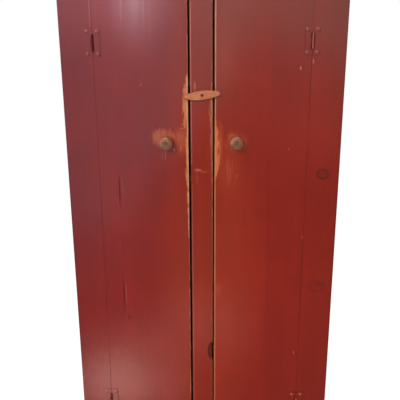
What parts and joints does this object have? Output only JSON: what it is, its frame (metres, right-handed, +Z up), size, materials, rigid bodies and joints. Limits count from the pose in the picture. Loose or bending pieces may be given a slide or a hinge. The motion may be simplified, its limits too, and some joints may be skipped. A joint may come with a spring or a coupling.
{
  "type": "jelly cupboard",
  "caption": "Tall painted pine cupboard with plank doors on surface hinges, a fixed post between the doors, round wooden knobs and a wooden turn button.",
  "frame": {"origin": "on the floor, at the centre of the outline seen from above", "axes": "+Z up, +Y from the doors to the back, +X to the right when the doors are faced"},
  "size_m": [0.982, 0.44, 1.778],
  "materials": {
    "frame_paint": "barn-red paint, worn semi-gloss, over pine",
    "door_paint": "barn-red paint, worn semi-gloss, bare at the free edges",
    "bare_pine": "bare pine, darkened by age",
    "hinge_paint": "steel painted over with the frame",
    "knob_wood": "turned wood, weathered grey-brown",
    "button_wood": "bare orange-tan wood",
    "dark_screws": "darkened steel",
    "nails": "dark iron, cut"
  },
  "bodies": {
    "carcass": {"side_left": "frame_paint", "side_right": "frame_paint", "stile_left": "frame_paint", "stile_right": "frame_paint", "top_rail": "frame_paint", "base_rail": "frame_paint", "mullion": "frame_paint", "top_board": "frame_paint", "bottom_board": "bare_pine", "door_stop_top": "bare_pine", "shelf_1": "bare_pine", "shelf_2": "bare_pine", "shelf_3": "bare_pine", "shelf_4": "bare_pine", "shelf_cleats_left": "bare_pine", "shelf_cleats_right": "bare_pine", "back_board_1": "bare_pine", "back_board_2": "bare_pine", "back_board_3": "bare_pine", "back_board_4": "bare_pine", "back_board_5": "bare_pine", "cornice_front": "frame_paint", "cornice_left": "frame_paint", "cornice_right": "frame_paint", "hinge_left_upper_stile_leaf": "hinge_paint", "hinge_left_upper_pin": "hinge_paint", "hinge_left_lower_stile_leaf": "hinge_paint", "hinge_left_lower_pin": "hinge_paint", "hinge_right_upper_stile_leaf": "hinge_paint", "hinge_right_upper_pin": "hinge_paint", "hinge_right_lower_stile_leaf": "hinge_paint", "hinge_right_lower_pin": "hinge_paint", "hinge_screws_stiles": "hinge_paint", "turn_button_screw": "dark_screws", "nails_face_frame": "nails", "nails_cornice": "nails", "nails_carcass": "nails"},
    "door_left": {"door_left_hinge_board": "door_paint", "door_left_latch_board": "door_paint", "door_left_batten_bottom": "bare_pine", "door_left_batten_middle": "bare_pine", "door_left_batten_top": "bare_pine", "knob_left": "knob_wood", "knob_screw_left": "dark_screws", "nails_door_left": "nails", "hinge_screws_door_left": "hinge_paint", "hinge_left_upper_door_leaf": "hinge_paint", "hinge_left_lower_door_leaf": "hinge_paint"},
    "door_right": {"door_right_hinge_board": "door_paint", "door_right_latch_board": "door_paint", "door_right_batten_bottom": "bare_pine", "door_right_batten_middle": "bare_pine", "door_right_batten_top": "bare_pine", "knob_right": "knob_wood", "knob_screw_right": "dark_screws", "nails_door_right": "nails", "hinge_screws_door_right": "hinge_paint", "hinge_right_upper_door_leaf": "hinge_paint", "hinge_right_lower_door_leaf": "hinge_paint"},
    "turn_button": {"turn_button": "button_wood"}
  },
  "joints": [
    {"name": "door_left_hinge", "type": "hinge", "parent": "carcass", "child": "door_left", "pos_m": [-0.3515, -0.1899, 0.8985], "axis": [0, 0, -1], "range_deg": [0, 170]},
    {"name": "door_right_hinge", "type": "hinge", "parent": "carcass", "child": "door_right", "pos_m": [0.346, -0.1899, 0.8985], "axis": [0, 0, 1], "range_deg": [0, 170]},
    {"name": "turn_button_pivot", "type": "hinge", "parent": "carcass", "child": "turn_button", "pos_m": [-0.005, -0.186, 1.3755], "axis": [0, -1, 0], "continuous": true}
  ]
}
